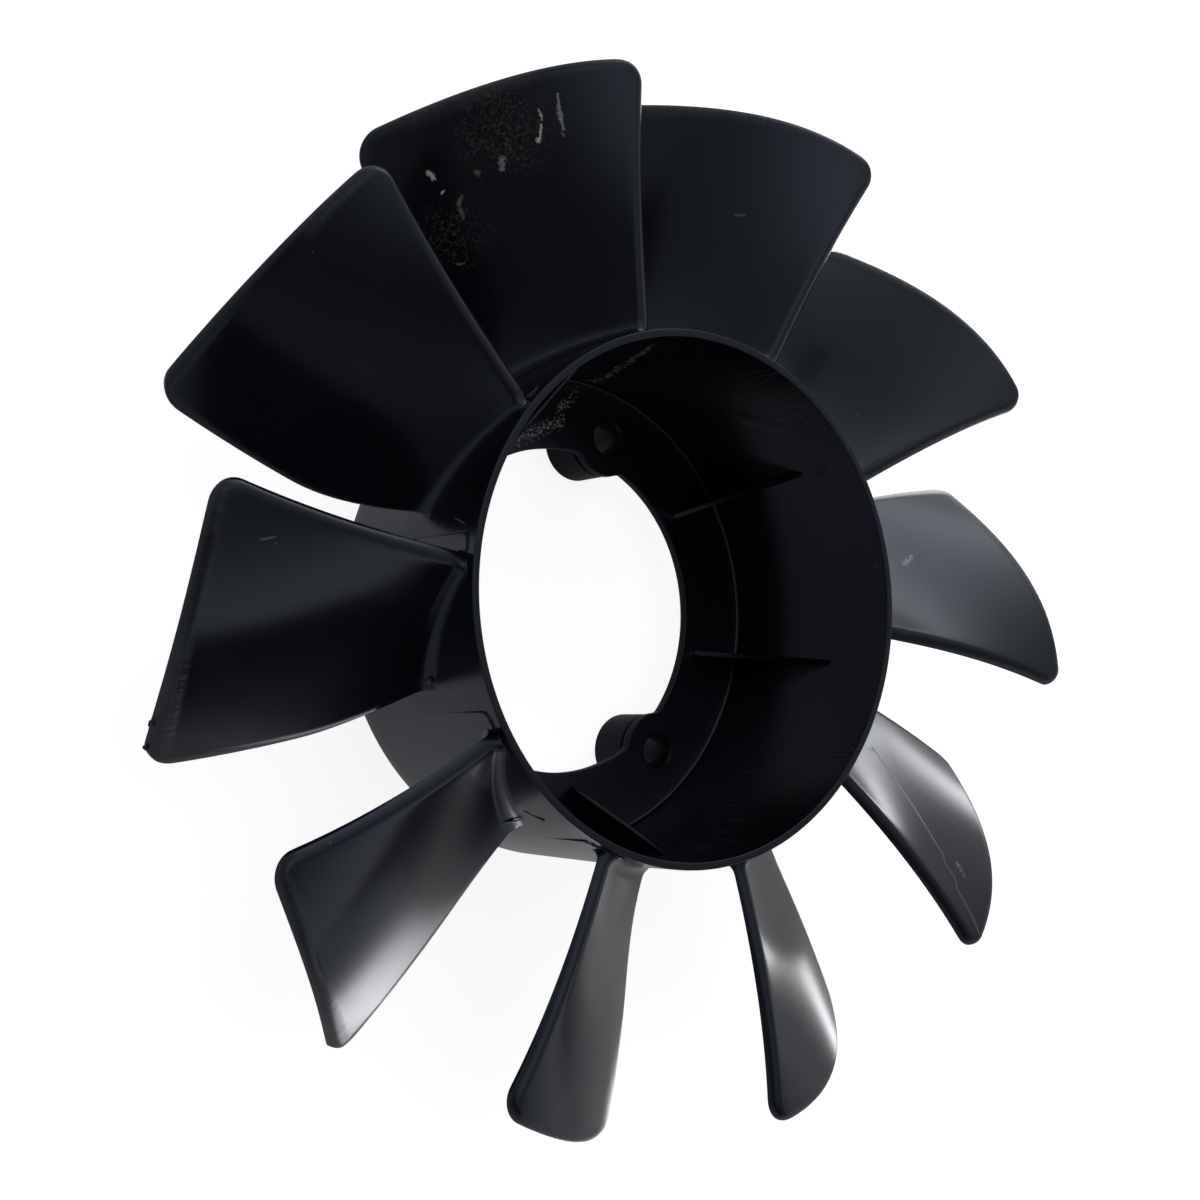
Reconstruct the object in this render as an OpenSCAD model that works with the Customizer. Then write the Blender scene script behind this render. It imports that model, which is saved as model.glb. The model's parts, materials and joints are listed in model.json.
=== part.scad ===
// Axial cooling fan wheel, injection moulded in one piece. An open drum carries ten twisted
// blades. A flange closes the back of the drum down to a round opening, and three ears with
// bosses behind them take the bolts. Six triangular gussets tie the flange to the drum wall.
// The origin is the centre of the bolting plane, at the ends of the bosses, and +Z is the
// spin axis, which points out of the open front of the drum. Sizes are in millimetres.

/* [Drum] */
// Outside diameter of the drum at its front rim
drum_d = 160; // [150:1:200]
// Height of the wheel from the bolting plane to the front rim
wheel_h = 91; // [88:1:110]
// Wall thickness of the drum at the front rim
rim_wall = 2.3; // [1.8:0.1:3.5]
// Depth of the drum from the front rim to the flange
drum_depth = 72; // [60:1:74]
// Draft angle of the inside of the drum
bore_draft = 0.7; // [0.3:0.1:1.2]
// Draft angle that each mould half leaves on the outside of the drum
skin_draft = 0.8; // [0.4:0.1:1.5]
// Radius of the rounded outer edge at the back of the drum
back_round = 2.5; // [0.5:0.1:3]

/* [Flange] */
// Thickness of the flange at the back of the drum
flange_t = 3; // [2:0.1:5]
// Diameter of the central opening
opening_d = 106; // [96:1:110]
// Fillet between the flange and the inside of the drum
flange_fillet = 1.2; // [0.5:0.1:3]

/* [Bolt bosses] */
// Number of bolt bosses
bolt_count = 3; // [3:1:4]
// Diameter of the circle through the bolt holes
bolt_circle_d = 123; // [118:1:125]
// Diameter of the bolt holes
bolt_hole_d = 11; // [6:0.5:14]
// Radius of the ear around each bolt hole
ear_r = 12.8; // [10:0.1:13.2]
// Radius of the boss behind each ear
boss_r = 12.4; // [9:0.1:12.8]
// Width of the relief groove between the ear and its boss
neck_w = 1.6; // [1:0.1:3]
// Depth of the relief groove
neck_cut = 1.1; // [0.5:0.1:1.5]
// Chamfer at both ends of each bolt hole
hole_chamfer = 0.5; // [0.2:0.1:1]
// Angle of the first bolt hole, seen from the open front
bolt_angle = 69; // [0:1:119]

/* [Gussets] */
// Thickness of each gusset
gusset_t = 2.1; // [1.5:0.1:4]
// Height of each gusset up the drum wall
gusset_h = 48; // [20:1:55]
// Distance from the axis to the inner foot of each gusset
gusset_foot_r = 57.6; // [56:0.1:70]
// Angle between a bolt hole and the gusset on each side of it
gusset_spread = 36; // [20:1:45]

/* [Blades] */
// Number of blades
blade_count = 10; // [7:1:11]
// Diameter over the blade tips, at the middle of the tips
tip_d = 320; // [290:1:360]
// Growth of the tip radius from the leading corner to the trailing corner
tip_flare = 3; // [0:0.1:5]
// Angle of the first blade's leading root corner, seen from the open front
blade_angle = 99; // [90:1:125]
// Distance of the leading root corner behind the front rim
lead_set_back = 4.8; // [4:0.1:8]
// How far the leading edge comes forward between root and tip
lead_rake = 7; // [0:0.1:10]
// Angle by which the leading edge sweeps back between root and tip
lead_sweep = 2.7; // [0:0.1:8]
// Angle between the leading root corner and the trailing edge line, at the drum
root_arc = 29; // [24:0.1:31]
// Angle between the leading root corner and the trailing corner, at the tip
tip_arc = 23.7; // [18:0.1:30]
// Depth of the trailing edge behind the front rim
trail_depth = 46.5; // [40:0.1:52]
// How far the trailing edge is cut forward at the drum
relief_rise = 14; // [0:0.1:20]
// Angle by which the trailing edge is cut back at the drum
relief_arc = 3.6; // [0:0.1:5]
// Part of the blade's length over which that cut fades out
relief_span = 0.45; // [0.2:0.05:0.7]
// Camber at the drum as a share of the chord, below zero where the front is hollow
camber_root = -0.05; // [-0.08:0.005:0.08]
// Camber at the tip as a share of the chord
camber_tip = 0.105; // [0:0.005:0.12]
// How far the camber leans toward the leading edge
camber_lean = 0.3; // [0:0.05:0.4]
// Thickness of a blade at the drum
blade_t_root = 3.8; // [3:0.1:5]
// Thickness of a blade at the tip
blade_t_tip = 3; // [2:0.1:4]
// Width of the rounded band along the leading edge and the tip
edge_round = 3; // [1:0.1:4]
// Width of the rounded band along the trailing edge
trail_round = 1.2; // [0.6:0.1:2]
// Radius of the two outer corners of a blade
corner_r = 8; // [4:0.1:12]
// Fillet between a blade and the drum
root_fillet = 4; // [2:0.1:5]

/* [Mould parting] */
// Distance of the front parting step behind the front rim
step_front = 3.6; // [2.5:0.1:3.9]
// Distance of the back parting step behind the front rim
step_back = 40; // [36:1:44]
// Angle from the straight parting step to the next leading root corner
step_arc = 4.3; // [3:0.1:5]
// Radius of the rounded corners of the parting step
step_corner = 2.5; // [1:0.1:3]

/* [Hidden] */

round_fn = 96;
hole_fn = 48;
drum_r = drum_d / 2;
tip_r = tip_d / 2;
blade_len = tip_r - drum_r;
pitch_arc = 360 / blade_count;
flange_top = wheel_h - drum_depth;
flange_bottom = flange_top - flange_t;
bolt_r = bolt_circle_d / 2;
mid_z = wheel_h - (step_front + step_back) / 2;
back_z = wheel_h - step_back;

// Heights of the root corners of a blade, and how fast its root line falls with the angle
lead_z = wheel_h - lead_set_back;
trail_z = wheel_h - trail_depth + relief_rise;
root_slope = (lead_z - trail_z) / (root_arc - relief_arc);

// How deep the pieces that are added to the drum reach into its wall
bite = 1.2;
// Height of the step that the mould halves leave at each end of the parting line
step_h = (step_back - step_front) / 2 * tan(skin_draft);
// Radius where the blade fillets start, just outside both mould skins
root_r = drum_r + step_h;

// Inside radius of the drum at a height
function bore_r_at(z) = drum_r - rim_wall - (wheel_h - z) * tan(bore_draft);

// Outside radius that the front mould half leaves, widest at the back
function front_skin_r(z) = drum_r + (wheel_h - z) * tan(skin_draft);

// Outside radius that the back mould half leaves, widest at the front
function back_skin_r(z) = front_skin_r(mid_z) + (z - mid_z) * tan(skin_draft);

// Points of an arc about a centre, from one angle to another
function arc_points(center, r, from, to, steps) =
    [for (i = [0:steps]) let (a = from + (to - from) * i / steps)
        [center[0] + r * cos(a), center[1] + r * sin(a)]];

// Quarter round of a band: nothing at the edge, full height from the width inward
function rounding(distance, width) =
    distance >= width ? 1 : sqrt(max(0, 1 - pow(1 - distance / width, 2)));

// Growth of a fillet at a height above the surface that it meets
function fillet_growth(height, r) =
    height >= r ? 0 : r - sqrt(max(0, r * r - pow(r - max(height, 0), 2)));

// A thin pad on the drum. Each column has an angle, then its low and its high edge, both as
// radius and height. The pad reaches into the wall behind it.
module wall_pad(columns) {
    inner_r = drum_r - bite;
    n = len(columns);
    points = [for (c = columns) for (p = [c[1], c[2], [inner_r, c[2][1]], [inner_r, c[1][1]]])
        [p[0] * cos(c[0]), p[0] * sin(c[0]), p[1]]];
    skin = [for (i = [0:n - 2]) for (k = [0:3])
        let (a = 4 * i + k, b = 4 * i + (k + 1) % 4)
            each [[a, b, b + 4], [a, b + 4, a + 4]]];
    polyhedron(points, concat(skin, [[3, 2, 1, 0], [for (k = [0:3]) 4 * n - 4 + k]]));
}

// Turned shell of the drum with the flange, before the flange is opened
module drum_shell() {
    inner_foot = bore_r_at(flange_top);
    outer_foot = back_skin_r(flange_bottom);
    rim_break = 0.3;
    rotate_extrude($fn = round_fn)
        polygon(concat(
            [[0, flange_bottom]],
            arc_points([outer_foot - back_round, flange_bottom + back_round], back_round, -90, 0, 5),
            [[back_skin_r(mid_z), mid_z],
             [front_skin_r(wheel_h), wheel_h - rim_break],
             [front_skin_r(wheel_h) - rim_break, wheel_h],
             [bore_r_at(wheel_h) + rim_break, wheel_h],
             [bore_r_at(wheel_h), wheel_h - rim_break]],
            arc_points([inner_foot - flange_fillet, flange_top + flange_fillet], flange_fillet, 0, -90, 4),
            [[0, flange_top]]));
}

// Skin of the front mould half that stands proud between two blades, behind the middle
module front_pad() {
    c = step_corner;
    ca = c / drum_r * 180 / PI;
    high = mid_z + 2;
    sunk = front_skin_r(mid_z) - step_h;
    left = root_arc - relief_arc - pitch_arc;
    edge = [[left - 5.5, trail_z + 3.5], [left - 1.8, trail_z - 1], [left + 0.6, back_z + 0.25 * c],
            [left + 1.9, back_z], [-step_arc - ca, back_z], [-step_arc - 0.5 * ca, back_z + 0.13 * c],
            [-step_arc - 0.13 * ca, back_z + 0.5 * c], [-step_arc, back_z + c]];
    wall_pad([for (p = edge) [p[0], [front_skin_r(p[1]), p[1]], [sunk, high]]]);
}

// Skin of the back mould half that stands proud behind a blade, ahead of the middle
module back_pad() {
    c = step_corner;
    ca = c / drum_r * 180 / PI;
    low = mid_z - 2;
    sunk = back_skin_r(mid_z) - step_h;
    high = wheel_h - step_front;
    edge = [[-step_arc, high - c], [-step_arc + 0.13 * ca, high - 0.5 * c],
            [-step_arc + 0.5 * ca, high - 0.13 * c], [-step_arc + ca, high], [-1, high],
            [0.8, lead_z - 0.8 * root_slope], [7, lead_z - 7 * root_slope], [11, lead_z - 11 * root_slope]];
    wall_pad([for (p = edge) [p[0], [sunk, low], [back_skin_r(p[1]), p[1]]]]);
}

// Flange outline with its opening and the ears that reach into it
module flange_opening() {
    difference() {
        translate([0, 0, flange_bottom - 1])
            cylinder(h = flange_t + 2, d = opening_d, $fn = round_fn);
        for (i = [0:bolt_count - 1])
            rotate(bolt_angle + i * 360 / bolt_count)
                translate([bolt_r, 0, flange_bottom - 2])
                    cylinder(h = flange_t + 4, r = ear_r, $fn = hole_fn);
    }
}

// Boss behind an ear: a relief groove under the ear, then the boss down to the bolting plane
module bolt_boss() {
    translate([0, 0, flange_bottom - neck_w])
        cylinder(h = neck_w + flange_t / 2, r = boss_r - neck_cut, $fn = hole_fn);
    cylinder(h = flange_bottom - neck_w, r = boss_r, $fn = hole_fn);
}

module bolt_hole() {
    r = bolt_hole_d / 2;
    translate([0, 0, -1]) cylinder(h = flange_top + 2, r = r, $fn = hole_fn);
    translate([0, 0, -0.01])
        cylinder(h = hole_chamfer, r1 = r + hole_chamfer, r2 = r, $fn = hole_fn);
    translate([0, 0, flange_top - hole_chamfer + 0.01])
        cylinder(h = hole_chamfer, r1 = r, r2 = r + hole_chamfer, $fn = hole_fn);
}

// Triangular gusset between the flange and the drum wall
module gusset() {
    top = flange_top + gusset_h;
    rotate([90, 0, 0])
        linear_extrude(gusset_t, center = true)
            polygon([[gusset_foot_r, flange_top - bite], [gusset_foot_r, flange_top],
                     [bore_r_at(top), top], [bore_r_at(top) + bite, top],
                     [bore_r_at(flange_top) + bite, flange_top - bite]]);
}

// Stations along a blade, as shares of its length from drum to tip
root_steps = [-bite, 0.35, 1.1, 2.1, 3.2, 5];
tip_steps = [8, 5.6, 3.2, 1.5, 0.5, 0];
span_count = 5;
stations = concat(
    [for (a = root_steps) a / blade_len],
    [for (i = [1:span_count]) let (a = i / (span_count + 1))
        (root_steps[5] * (1 - a) + (blade_len - tip_steps[0]) * a) / blade_len],
    [for (d = tip_steps) 1 - d / blade_len]);

// Places across a blade, counted as shares of the rounded bands and of what lies between
lead_shares = [0, 0.08, 0.28, 0.6, 1];
trail_shares = [1, 0.3, 0];
chord_count = 6;
across = len(lead_shares) + chord_count + len(trail_shares);

// The trailing cut fades from the drum outward
function relief(u) = u >= relief_span ? 0 : pow(1 - max(u, 0) / relief_span, 2);

// Leading and trailing edges as angle and height at a share of the length
function lead_at(u) = [-lead_sweep * (0.23 * u + 0.77 * u * u),
                       wheel_h - lead_set_back + lead_rake * (1.57 * u - 0.57 * u * u)];
function trail_at(u) = [root_arc + (tip_arc - root_arc) * u - relief_arc * relief(u),
                        wheel_h - trail_depth + relief_rise * relief(u)];

// Place across the chord, as a length from the leading edge, inside the cut corners
function place(j, cut, chord) =
    let (n = len(lead_shares), a = cut + edge_round, b = chord - cut - trail_round)
    j < n ? cut + lead_shares[j] * edge_round
    : j < n + chord_count ? a + (b - a) * (j - n + 1) / (chord_count + 1)
    : chord - cut - trail_shares[j - n - chord_count] * trail_round;

// A point of the blade's front (side 1) or back (side 0) at station u, place j
function blade_point(u, j, side) =
    let (
        from_tip = (1 - u) * blade_len,
        cut = fillet_growth(from_tip, corner_r),
        p = lead_at(u), q = trail_at(u),
        mid_r = drum_r + u * blade_len,
        s = (q[0] - p[0]) * PI / 180 * mid_r,
        rise = q[1] - p[1],
        chord = norm([s, rise]),
        d = place(j, cut, chord),
        v = d / chord,
        camber = (camber_root + (camber_tip - camber_root) * max(u, 0)) * chord,
        bow = camber * 4 * v * (1 - v) * (1 - camber_lean * (2 * v - 1)),
        slope = camber / chord * 4 * ((1 - 2 * v) * (1 - camber_lean * (2 * v - 1))
                - 2 * camber_lean * v * (1 - v)),
        across_dir = [s, rise] / chord,
        out_dir = [-rise, s] / chord,
        tilt = (out_dir - across_dir * slope) / norm([1, slope]),
        full = blade_t_root + (blade_t_tip - blade_t_root) * u,
        edge = rounding(d - cut, edge_round) * rounding(chord - cut - d, trail_round),
        tip_edge = max(0.12, rounding(from_tip, edge_round)),
        swell = fillet_growth(mid_r - root_r, root_fillet) * edge,
        offset = side == 1 ? full * edge * tip_edge + swell : -swell,
        flat = across_dir * d + out_dir * bow + tilt * offset,
        r = drum_r + u * (tip_r + tip_flare * (v - 0.5) - drum_r),
        angle = p[0] + flat[0] / mid_r * 180 / PI
    )
    [r * cos(angle), r * sin(angle), p[1] + flat[1]];

// One blade: closed loops around the section, joined from station to station
module blade() {
    loop = 2 * across - 2;
    last = len(stations) - 1;
    points = [for (u = stations) for (k = [0:loop - 1])
        k < across ? blade_point(u, k, 1) : blade_point(u, loop - k, 0)];
    skin = [for (i = [0:last - 1]) for (k = [0:loop - 1])
        let (a = i * loop + k, b = i * loop + (k + 1) % loop)
            each [[a, b, b + loop], [a, b + loop, a + loop]]];
    ends = [for (j = [0:across - 2]) for (i = [0, last])
        let (f = i * loop + j, g = f + 1,
             h = j == across - 2 ? -1 : i * loop + loop - j - 1,
             m = j == 0 ? -1 : i * loop + loop - j,
             first = m < 0 ? [f, g, h] : [f, g, m],
             second = m < 0 || h < 0 ? [] : [g, h, m])
            each [for (t = [first, second]) if (len(t) == 3)
                (i == last ? t : [t[2], t[1], t[0]])]];
    faces = concat(skin, ends);
    polyhedron(points, faces);
}

// The whole wheel is one moulding
module fan_wheel() {
    color([0.07, 0.08, 0.10])
        difference() {
            union() {
                difference() {
                    drum_shell();
                    flange_opening();
                }
                for (i = [0:bolt_count - 1])
                    rotate(bolt_angle + i * 360 / bolt_count) {
                        translate([bolt_r, 0, 0]) bolt_boss();
                        for (side = [-1, 1]) rotate(side * gusset_spread) gusset();
                    }
                for (i = [0:blade_count - 1])
                    rotate(blade_angle - i * pitch_arc) {
                        blade();
                        front_pad();
                        back_pad();
                    }
            }
            for (i = [0:bolt_count - 1])
                rotate(bolt_angle + i * 360 / bolt_count)
                    translate([bolt_r, 0, 0]) bolt_hole();
        }
}

fan_wheel();
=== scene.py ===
# %% [markdown]
# A moulded fan wheel, dressed for the camera
#
# This lesson takes one moulded cooling fan wheel from its solid to a finished picture.
# The solid comes from the construction step and is the frame that everything has to fit.
# Each cell below adds one thing: the camera, the mesh of the moulding, the satin black
# plastic, the marks of use on it, the floor and the light.

import json
import math

import bmesh
import bpy
import numpy as np
from mathutils import Matrix, Vector
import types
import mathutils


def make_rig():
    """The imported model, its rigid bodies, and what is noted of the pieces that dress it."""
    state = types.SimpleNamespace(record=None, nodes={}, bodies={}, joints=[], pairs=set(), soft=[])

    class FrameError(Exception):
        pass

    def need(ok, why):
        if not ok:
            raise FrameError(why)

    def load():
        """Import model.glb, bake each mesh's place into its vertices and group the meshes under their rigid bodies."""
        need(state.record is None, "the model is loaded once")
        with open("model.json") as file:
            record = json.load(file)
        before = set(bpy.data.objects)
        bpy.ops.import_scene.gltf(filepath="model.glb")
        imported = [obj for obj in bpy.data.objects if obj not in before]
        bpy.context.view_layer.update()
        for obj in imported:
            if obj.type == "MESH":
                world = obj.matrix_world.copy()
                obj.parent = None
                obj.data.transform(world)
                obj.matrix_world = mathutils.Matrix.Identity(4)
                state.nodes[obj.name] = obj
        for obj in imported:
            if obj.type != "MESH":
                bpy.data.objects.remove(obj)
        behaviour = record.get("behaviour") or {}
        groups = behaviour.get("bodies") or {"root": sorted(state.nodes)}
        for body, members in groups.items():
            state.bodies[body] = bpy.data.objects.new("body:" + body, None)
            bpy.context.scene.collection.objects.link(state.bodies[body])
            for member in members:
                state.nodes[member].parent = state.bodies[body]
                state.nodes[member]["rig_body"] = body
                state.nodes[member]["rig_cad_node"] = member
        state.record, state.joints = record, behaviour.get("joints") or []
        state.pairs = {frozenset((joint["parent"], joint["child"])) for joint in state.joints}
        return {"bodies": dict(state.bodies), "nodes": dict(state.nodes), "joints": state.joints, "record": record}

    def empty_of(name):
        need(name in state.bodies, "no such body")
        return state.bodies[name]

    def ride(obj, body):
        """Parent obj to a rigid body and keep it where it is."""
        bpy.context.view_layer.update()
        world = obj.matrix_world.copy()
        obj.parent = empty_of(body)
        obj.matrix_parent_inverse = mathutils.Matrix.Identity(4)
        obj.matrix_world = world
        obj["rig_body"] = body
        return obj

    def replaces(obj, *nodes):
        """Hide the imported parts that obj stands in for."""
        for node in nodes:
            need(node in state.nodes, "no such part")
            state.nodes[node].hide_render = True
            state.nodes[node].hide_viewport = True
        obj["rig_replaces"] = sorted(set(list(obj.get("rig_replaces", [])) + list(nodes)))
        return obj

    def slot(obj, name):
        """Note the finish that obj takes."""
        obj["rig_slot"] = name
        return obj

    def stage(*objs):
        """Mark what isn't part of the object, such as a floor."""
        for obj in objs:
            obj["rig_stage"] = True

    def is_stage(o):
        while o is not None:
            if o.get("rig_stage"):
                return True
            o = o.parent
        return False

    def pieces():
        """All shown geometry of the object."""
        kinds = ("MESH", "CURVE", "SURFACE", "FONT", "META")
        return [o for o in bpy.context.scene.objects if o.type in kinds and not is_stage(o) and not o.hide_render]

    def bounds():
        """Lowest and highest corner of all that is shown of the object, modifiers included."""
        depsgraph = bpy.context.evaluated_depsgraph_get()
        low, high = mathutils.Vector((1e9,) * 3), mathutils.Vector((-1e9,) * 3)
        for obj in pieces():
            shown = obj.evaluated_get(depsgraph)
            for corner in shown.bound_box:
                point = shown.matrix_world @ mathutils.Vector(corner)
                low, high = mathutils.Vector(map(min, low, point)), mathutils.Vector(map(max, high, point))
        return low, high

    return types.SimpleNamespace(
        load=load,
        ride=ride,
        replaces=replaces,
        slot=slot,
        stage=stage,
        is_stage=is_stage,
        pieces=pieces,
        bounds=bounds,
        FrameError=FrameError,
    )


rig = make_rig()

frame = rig.load()
CAD_BOX = [list(corner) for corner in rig.bounds()]
MM = 0.001
print("frame nodes:", sorted(frame["nodes"]))

# %% [markdown]
# The camera stands in front of the open drum, a little to its left, and looks down on the
# wheel at about fifty degrees. Its place and its lens come from matching the rim, the flange
# and the ten blades, so it is kept as plain numbers.

# %% Camera
CAMERA_PLACE = Vector((-0.354114, -0.023135, 0.516160))
CAMERA_AXES = Matrix((
    (0.802092, 0.000000, -0.597200),
    (-0.031579, 0.998601, -0.042414),
    (0.596365, 0.052879, 0.800970)))
camera_data = bpy.data.cameras.new("photo_camera")
camera_data.sensor_width = 36.0
camera_data.lens = 56.112
camera = bpy.data.objects.new("photo_camera", camera_data)
camera.matrix_world = Matrix.Translation(CAMERA_PLACE) @ CAMERA_AXES.to_4x4()
bpy.context.scene.collection.objects.link(camera)
bpy.context.scene.camera = camera
bpy.context.scene.view_settings.view_transform = "Standard"
print("camera is", round(CAMERA_PLACE.length, 3), "m from the bolting plane's centre")

# %% [markdown]
# The sizes of the moulding, in millimetres. They are the same sizes that the solid was
# built from, so the finer mesh made here lies on the solid.

# %% Sizes
DRUM_R, RIM_WALL, WHEEL_H, DRUM_DEPTH = 80.0, 2.3, 91.0, 72.0
FLANGE_T, OPENING_R, FLANGE_FILLET, BACK_ROUND = 3.0, 53.0, 1.2, 2.5
FLANGE_TOP = WHEEL_H - DRUM_DEPTH
FLANGE_BOTTOM = FLANGE_TOP - FLANGE_T
BORE_DRAFT, SKIN_DRAFT = math.radians(0.7), math.radians(0.8)
STEP_FRONT, STEP_BACK, STEP_ARC, STEP_CORNER = 3.6, 40.0, 4.3, 2.5
BOLT_R, HOLE_R, EAR_R, BOSS_R, BOLT_ANGLES = 61.5, 5.5, 12.8, 12.4, (69, 189, 309)
NECK_W, NECK_CUT, HOLE_CHAMFER = 1.6, 1.1, 0.5
GUSSET_T, GUSSET_H, GUSSET_FOOT_R, GUSSET_SPREAD, GUSSET_ROUND = 2.1, 48.0, 57.6, 36, 0.55
BLADES, BLADE_ANGLE, PITCH = 10, 99.0, 36.0
TIP_R, TIP_FLARE, LEAD_SET_BACK, LEAD_RAKE, LEAD_SWEEP = 160.0, 3.0, 4.8, 7.0, 2.7
RAKE_AT_ROOT, SWEEP_AT_ROOT = 1.57, 0.23
ROOT_ARC, TIP_ARC, TRAIL_DEPTH = 29.0, 23.7, 46.5
RELIEF_RISE, RELIEF_ARC, RELIEF_SPAN = 14.0, 3.6, 0.45
CAMBER_ROOT, CAMBER_TIP, CAMBER_LEAN = -0.05, 0.105, 0.3
BLADE_T_ROOT, BLADE_T_TIP, EDGE_ROUND, TRAIL_ROUND, TIP_THINNEST = 3.8, 3.0, 3.0, 1.2, 0.12
CORNER_R, ROOT_FILLET, BITE = 8.0, 4.0, 1.2
SMALL_ROUND, PLATE_R, STEP_WIDTH, ROOT_MARGIN = 0.35, 70.0, 0.14, 1.5
BLADE_LEN = TIP_R - DRUM_R
ROOT_END = ROOT_ARC - RELIEF_ARC
STEP_END = ROOT_END - PITCH - ROOT_MARGIN
MID_Z = WHEEL_H - (STEP_FRONT + STEP_BACK) / 2
STEP_H = (STEP_BACK - STEP_FRONT) / 2 * math.tan(SKIN_DRAFT)
print("blade length", BLADE_LEN, "mm, parting step", round(2 * STEP_H, 2), "mm at most")

# %% [markdown]
# The wheel is one moulding, so it becomes one mesh. Each part of it is worked out as a
# grid of points, and the grids collect in this small store before the mesh is made. Faces
# also carry the number of their finish, because the blades and the drum have other marks.

# %% A store for the moulding's grids
PLAIN, TOP_BLADE, NICKED, CRACKED, DRUM, RAISED = 0, 1, 2, 3, 4, 5


class Moulding:
    """Collects the points and faces of one moulding, with each face's finish."""

    def __init__(self):
        self.points, self.faces, self.finishes, self.smooth, self.count = [], [], [], [], 0

    def add(self, points, faces, finish=DRUM, smooth=True):
        self.points.append(np.asarray(points, float).reshape(-1, 3))
        self.faces += [[i + self.count for i in face] for face in faces]
        self.finishes += [finish] * len(faces)
        self.smooth += [smooth] * len(faces)
        self.count += len(self.points[-1])

    def add_grid(self, grid, finish=DRUM, closed=False):
        """Adds a grid of points, rows by columns, as quads; a closed one joins its last column to its first."""
        rows, columns = grid.shape[:2]
        faces = []
        for i in range(rows - 1):
            this_row, next_row = i * columns, (i + 1) * columns
            for j in range(columns if closed else columns - 1):
                m = (j + 1) % columns
                faces.append([this_row + j, this_row + m, next_row + m, next_row + j])
        self.add(grid, faces, finish)


wheel_mesh = Moulding()


def spin(x, y, z, degrees):
    """Points turned about the spin axis."""
    a = np.radians(degrees)
    return np.stack([x * np.cos(a) - y * np.sin(a), x * np.sin(a) + y * np.cos(a), z + 0 * x], -1)


print("finishes by number:", {"plain": PLAIN, "top blade": TOP_BLADE, "nicked": NICKED,
                              "cracked": CRACKED, "drum": DRUM, "raised": RAISED})

# %% [markdown]
# A blade is a thin twisted shell. Its section at each distance from the drum is a chord
# between a leading and a trailing edge, bent by camber and thickened. The leading edge and
# the tip are rounded, and at the drum the section swells into a fillet. Working the points
# out by rule, instead of sculpting them, keeps all ten blades equal.

# %% Blade rules
LEAD, MIDDLE, TRAIL = 0, 1, 2


def fillet_growth(height, radius):
    """How far a fillet of this radius stands out at a height above the face that it grows from."""
    h = np.clip(height, 0, radius)
    return radius - np.sqrt(np.maximum(0, radius ** 2 - (radius - h) ** 2))


def rounding(distance, width):
    """Share of the full thickness at a distance from an edge that is rounded over a width."""
    return np.sqrt(1 - (1 - np.clip(distance / width, 0, 1)) ** 2)


def blade_section(reach, share, zone, front):
    """Points of a blade at reaches from the drum (rows) and places across (columns).

    u is the share of the blade's length, d the distance from the leading edge along the
    chord, and v that distance as a share of the chord.
    """
    u = reach[:, None] / BLADE_LEN
    relief = np.where(u < RELIEF_SPAN, (1 - np.maximum(u, 0) / RELIEF_SPAN) ** 2, 0)
    lead_a = -LEAD_SWEEP * (SWEEP_AT_ROOT * u + (1 - SWEEP_AT_ROOT) * u * u)
    lead_z = WHEEL_H - LEAD_SET_BACK + LEAD_RAKE * (RAKE_AT_ROOT * u + (1 - RAKE_AT_ROOT) * u * u)
    trail_a = ROOT_ARC + (TIP_ARC - ROOT_ARC) * u - RELIEF_ARC * relief
    trail_z = WHEEL_H - TRAIL_DEPTH + RELIEF_RISE * relief
    radius = DRUM_R + reach[:, None]
    from_tip = BLADE_LEN - reach[:, None]
    cut = fillet_growth(from_tip, CORNER_R)
    along, rise = np.radians(trail_a - lead_a) * radius, trail_z - lead_z
    chord = np.hypot(along, rise)
    start, end = cut + EDGE_ROUND, chord - cut - TRAIL_ROUND
    d = np.where(zone == LEAD, cut + share * EDGE_ROUND,
                 np.where(zone == MIDDLE, start + (end - start) * share, chord - cut - share * TRAIL_ROUND))
    v = d / chord
    camber = (CAMBER_ROOT + (CAMBER_TIP - CAMBER_ROOT) * np.maximum(u, 0)) * chord
    bow = camber * 4 * v * (1 - v) * (1 - CAMBER_LEAN * (2 * v - 1))
    slope = camber / chord * 4 * ((1 - 2 * v) * (1 - CAMBER_LEAN * (2 * v - 1))
                                  - 2 * CAMBER_LEAN * v * (1 - v))
    ax, az = along / chord, rise / chord
    ox, oz = -az, ax
    n = np.hypot(1, slope)
    tx, tz = (ox - ax * slope) / n, (oz - az * slope) / n
    edge = rounding(d - cut, EDGE_ROUND) * rounding(chord - cut - d, TRAIL_ROUND)
    tip_edge = np.maximum(TIP_THINNEST, rounding(from_tip, EDGE_ROUND))
    full = BLADE_T_ROOT + (BLADE_T_TIP - BLADE_T_ROOT) * u
    swell = fillet_growth(reach[:, None] - STEP_H, ROOT_FILLET) * edge
    offset = full * edge * tip_edge + swell if front else -swell
    flat_a = ax * d + ox * bow + tx * offset
    flat_z = az * d + oz * bow + tz * offset
    r = DRUM_R + u * (BLADE_LEN + TIP_FLARE * (v - 0.5))
    angle = np.radians(lead_a) + flat_a / radius
    return np.stack([r * np.cos(angle), r * np.sin(angle), lead_z + flat_z], -1)


# %% [markdown]
# The rules above are asked for a grid of points. Rows run outward from the drum and columns
# run round the section. They lie close together where the shape turns fast: in the fillet,
# round the edges and at the tip. One blade is worked out once and turned into ten places.

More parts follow.
